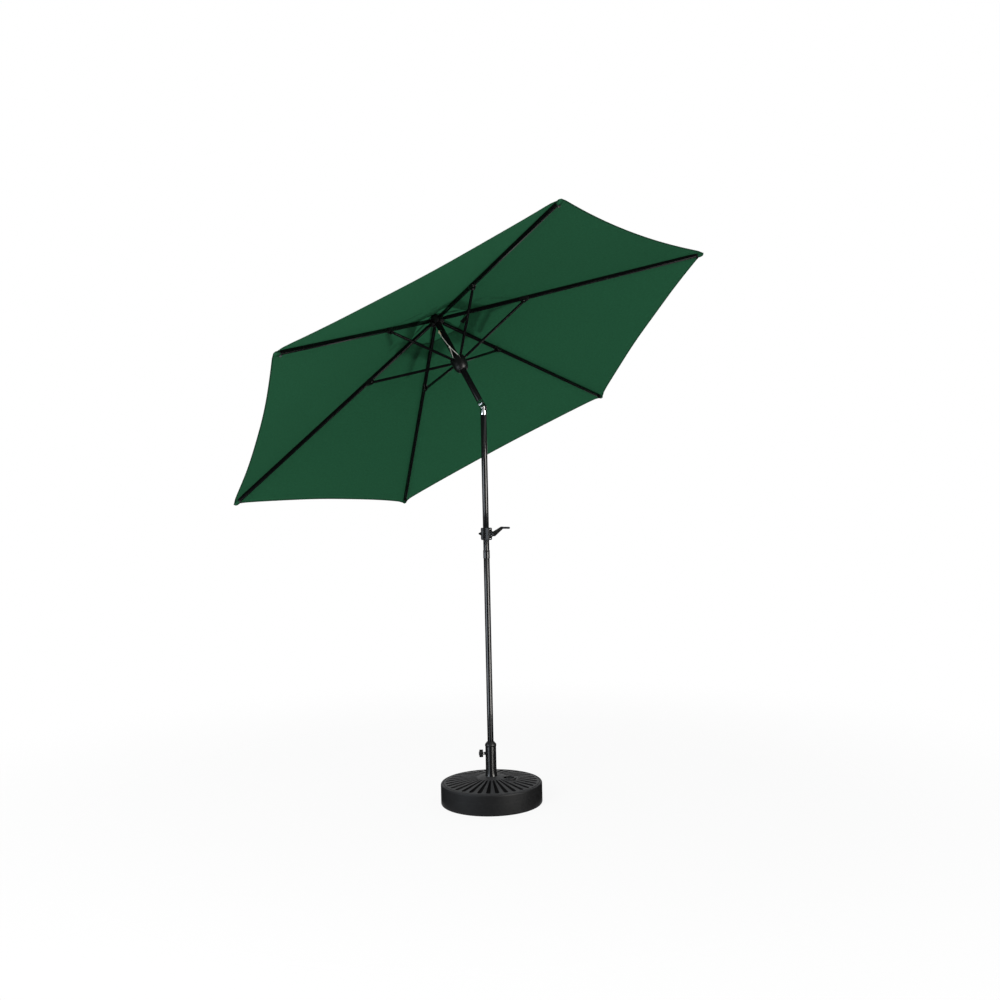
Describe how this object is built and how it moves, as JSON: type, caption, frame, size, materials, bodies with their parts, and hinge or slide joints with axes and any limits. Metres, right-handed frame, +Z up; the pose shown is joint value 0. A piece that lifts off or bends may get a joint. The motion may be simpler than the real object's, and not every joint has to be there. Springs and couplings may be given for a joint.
{
  "type": "patio umbrella",
  "caption": "Tilting garden umbrella with a crank lift: hexagonal vented cloth canopy on folding ribs, two-length pole with a tilt joint, and a round fillable base with a clamp.",
  "frame": {"origin": "middle of the base's underside, on the pole's axis", "axes": "+Z up along the pole; the mast leans towards -X; the tilt pivot lies along Y and the crank shaft along +X"},
  "size_m": [1.7084, 2.277, 2.3574],
  "materials": {
    "tank_plastic": "satin moulded, faint grain",
    "filling": "loose damp sand",
    "black_steel": "gloss powder coat",
    "mast_steel": "satin powder coat",
    "black_plastic": "satin moulded",
    "fitting_black": "satin moulded",
    "bright_metal": "bright plated",
    "pad_plastic": "natural nylon",
    "cord": "braided",
    "cloth": "plain weave, matt",
    "webbing": "woven tape"
  },
  "bodies": {
    "base": {"base_tank": "tank_plastic", "sand_ballast": "filling", "base_tube": "black_steel", "tube_collar": "black_plastic", "pole_bush": "black_plastic"},
    "filler_cap": {"filler_cap": "tank_plastic"},
    "clamp_pad": {"clamp_pad": "pad_plastic"},
    "clamp_knob": {"clamp_screw": "bright_metal", "clamp_knob": "black_plastic"},
    "pole_plug": {"pole_plug": "black_plastic"},
    "pole": {"lower_pole": "black_steel", "pole_ferrule": "black_steel", "upper_pole": "black_steel", "housing_front": "black_plastic", "housing_rear": "black_plastic", "housing_screws": "bright_metal", "lower_knuckle": "bright_metal", "tilt_rivets": "bright_metal", "button_spring": "bright_metal", "lift_cord_lower": "cord"},
    "crank": {"crank_shaft": "bright_metal", "crank_ferrule": "bright_metal", "crank_arm": "black_plastic", "cord_winding": "cord"},
    "crank_grip": {"crank_grip": "black_plastic"},
    "tilt_button": {"tilt_button": "bright_metal"},
    "mast": {"upper_knuckle": "bright_metal", "mast_tube": "mast_steel", "top_hub": "black_plastic", "hub_ring": "bright_metal", "finial": "black_plastic", "canopy": "cloth", "vent_canopy": "cloth", "pulley_axle": "bright_metal", "lift_cord_upper": "cord"},
    "cord_pulley": {"cord_pulley": "pad_plastic"},
    "runner": {"runner": "black_plastic", "runner_ring": "bright_metal", "lift_cord_outer": "cord"},
    "rib_1": {"rib_1": "mast_steel", "rib_1_fittings": "fitting_black", "tie_strap": "webbing"},
    "rib_2": {"rib_2": "mast_steel", "rib_2_fittings": "fitting_black"},
    "rib_3": {"rib_3": "mast_steel", "rib_3_fittings": "fitting_black"},
    "rib_4": {"rib_4": "mast_steel", "rib_4_fittings": "fitting_black"},
    "rib_5": {"rib_5": "mast_steel", "rib_5_fittings": "fitting_black"},
    "rib_6": {"rib_6": "mast_steel", "rib_6_fittings": "fitting_black"},
    "strut_1": {"strut_1": "mast_steel"},
    "strut_2": {"strut_2": "mast_steel"},
    "strut_3": {"strut_3": "mast_steel"},
    "strut_4": {"strut_4": "mast_steel"},
    "strut_5": {"strut_5": "mast_steel"},
    "strut_6": {"strut_6": "mast_steel"}
  },
  "joints": [
    {"name": "filler_cap_lift", "type": "slide", "parent": "base", "child": "filler_cap", "axis": [0, 0, 1], "range_m": [0, 0.03]},
    {"name": "clamp_advance", "type": "slide", "parent": "base", "child": "clamp_pad", "axis": [-0.788, -0.6157, 0], "range_m": [0, 0.0045]},
    {"name": "clamp_turn", "type": "hinge", "parent": "clamp_pad", "child": "clamp_knob", "pos_m": [-0.03152, -0.02463, 0.211], "axis": [-0.788, -0.6157, 0], "range_deg": [0, 1080]},
    {"name": "pole_lift", "type": "slide", "parent": "base", "child": "pole_plug", "axis": [0, 0, 1], "range_m": [0, 0.2]},
    {"name": "pole_turn", "type": "hinge", "parent": "pole_plug", "child": "pole", "pos_m": [0, 0, 0.1], "axis": [0, 0, 1], "continuous": true},
    {"name": "crank_turn", "type": "hinge", "parent": "pole", "child": "crank", "pos_m": [0, 0, 1.147], "axis": [1, 0, 0], "range_deg": [0, 993.6]},
    {"name": "grip_turn", "type": "hinge", "parent": "crank", "child": "crank_grip", "pos_m": [0.07, 0.04373, 1.17124], "axis": [1, 0, 0], "continuous": true},
    {"name": "button_press", "type": "slide", "parent": "pole", "child": "tilt_button", "axis": [1, 0, 0], "range_m": [0, 0.003], "stiffness_N_per_m": 1500, "springref_m": -0.001, "deforming": ["button_spring"]},
    {"name": "mast_tilt", "type": "hinge", "parent": "pole", "child": "mast", "pos_m": [0, 0, 1.683], "axis": [0, 1, 0], "range_deg": [0, 32.5]},
    {"name": "canopy_fold", "type": "hinge", "parent": "mast", "child": "rib_1", "pos_m": [-0.2299, 0.01295, 2.08148], "axis": [-0.455, 0.842, -0.2899], "range_deg": [0, 13]},
    {"name": "rib_2_fold", "type": "hinge", "parent": "mast", "child": "rib_2", "pos_m": [-0.24788, 0.02397, 2.07003], "axis": [-0.8425, -0.0462, -0.5367], "range_deg": [0, 13.2]},
    {"name": "rib_3_fold", "type": "hinge", "parent": "mast", "child": "rib_3", "pos_m": [-0.26492, 0.01103, 2.05917], "axis": [-0.3875, -0.8882, -0.2468], "range_deg": [0, 13.2]},
    {"name": "rib_4_fold", "type": "hinge", "parent": "mast", "child": "rib_4", "pos_m": [-0.26399, -0.01295, 2.05977], "axis": [0.455, -0.842, 0.2899], "range_deg": [0, 13.2]},
    {"name": "rib_5_fold", "type": "hinge", "parent": "mast", "child": "rib_5", "pos_m": [-0.24601, -0.02397, 2.07122], "axis": [0.8425, 0.0462, 0.5367], "range_deg": [0, 13.2]},
    {"name": "rib_6_fold", "type": "hinge", "parent": "mast", "child": "rib_6", "pos_m": [-0.22896, -0.01103, 2.08208], "axis": [0.3875, 0.8882, 0.2468], "range_deg": [0, 13.2]},
    {"name": "strut_1_fold", "type": "hinge", "parent": "rib_1", "child": "strut_1", "pos_m": [0.07797, 0.20102, 2.14451], "axis": [-0.455, 0.842, -0.2899], "range_deg": [-27.2, 0]},
    {"name": "strut_2_fold", "type": "hinge", "parent": "rib_2", "child": "strut_2", "pos_m": [-0.20116, 0.37221, 1.96669], "axis": [-0.8425, -0.0462, -0.5367], "range_deg": [-27.2, 0]},
    {"name": "strut_3_fold", "type": "hinge", "parent": "rib_3", "child": "strut_3", "pos_m": [-0.46575, 0.17118, 1.79812], "axis": [-0.3875, -0.8882, -0.2468], "range_deg": [-27.2, 0]},
    {"name": "strut_4_fold", "type": "hinge", "parent": "rib_4", "child": "strut_4", "pos_m": [-0.45122, -0.20102, 1.80738], "axis": [0.455, -0.842, 0.2899], "range_deg": [-27.2, 0]},
    {"name": "strut_5_fold", "type": "hinge", "parent": "rib_5", "child": "strut_5", "pos_m": [-0.1721, -0.37221, 1.9852], "axis": [0.8425, 0.0462, 0.5367], "range_deg": [-27.2, 0]},
    {"name": "strut_6_fold", "type": "hinge", "parent": "rib_6", "child": "strut_6", "pos_m": [0.0925, -0.17118, 2.15376], "axis": [0.3875, 0.8882, 0.2468], "range_deg": [-27.2, 0]},
    {"name": "runner_slide", "type": "slide", "parent": "mast", "child": "runner", "axis": [0.5373, 0, -0.8434], "range_m": [0, 0.1563], "deforming": ["lift_cord_outer"]},
    {"name": "pulley_turn", "type": "hinge", "parent": "mast", "child": "cord_pulley", "pos_m": [-0.22023, -0.00693, 2.02124], "axis": [0.7304, -0.5, 0.4653], "range_deg": [0, 1051.9]}
  ],
  "couplings": [
    {"joint": "clamp_advance", "follows": "clamp_turn", "m_per_rad": 0.00023873},
    {"joint": "crank_turn", "follows": "canopy_fold", "ratio": 76.278},
    {"joint": "pulley_turn", "follows": "canopy_fold", "ratio": 80.765},
    {"joint": "runner_slide", "follows": "canopy_fold", "m_per_rad": 0.6865},
    {"joint": "rib_2_fold", "follows": "canopy_fold", "ratio": 1},
    {"joint": "rib_3_fold", "follows": "canopy_fold", "ratio": 1},
    {"joint": "rib_4_fold", "follows": "canopy_fold", "ratio": 1},
    {"joint": "rib_5_fold", "follows": "canopy_fold", "ratio": 1},
    {"joint": "rib_6_fold", "follows": "canopy_fold", "ratio": 1},
    {"joint": "strut_1_fold", "follows": "canopy_fold", "ratio": -2.0502},
    {"joint": "strut_2_fold", "follows": "canopy_fold", "ratio": -2.0502},
    {"joint": "strut_3_fold", "follows": "canopy_fold", "ratio": -2.0502},
    {"joint": "strut_4_fold", "follows": "canopy_fold", "ratio": -2.0502},
    {"joint": "strut_5_fold", "follows": "canopy_fold", "ratio": -2.0502},
    {"joint": "strut_6_fold", "follows": "canopy_fold", "ratio": -2.0502}
  ]
}
